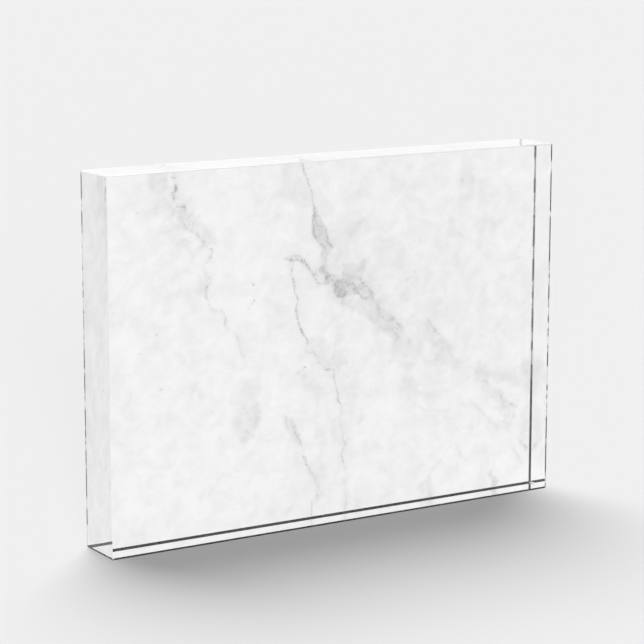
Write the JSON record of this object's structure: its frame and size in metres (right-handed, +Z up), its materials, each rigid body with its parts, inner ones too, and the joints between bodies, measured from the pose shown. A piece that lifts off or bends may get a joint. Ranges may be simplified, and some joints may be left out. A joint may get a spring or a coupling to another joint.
{
  "type": "photo block",
  "caption": "Free-standing clear acrylic photo block with a white marble print bonded to the back of the slab and a white backing sheet.",
  "frame": {"origin": "middle of the base, under the middle of the whole depth from the slab's front face to the backing sheet's rear face", "axes": "+Z up, +X along the long edge to the viewer's right, -Y out of the front face through which the print is seen"},
  "size_m": [0.1778, 0.02, 0.127],
  "materials": {
    "clear_acrylic": "polished",
    "clear_adhesive": "gloss",
    "marble_print_paper": "satin",
    "white_backing_plastic": "matte"
  },
  "bodies": {
    "root": {"acrylic_block": "clear_acrylic", "optical_adhesive_film": "clear_adhesive", "marble_print": "marble_print_paper", "rear_backing_sheet": "white_backing_plastic"}
  },
  "joints": []
}
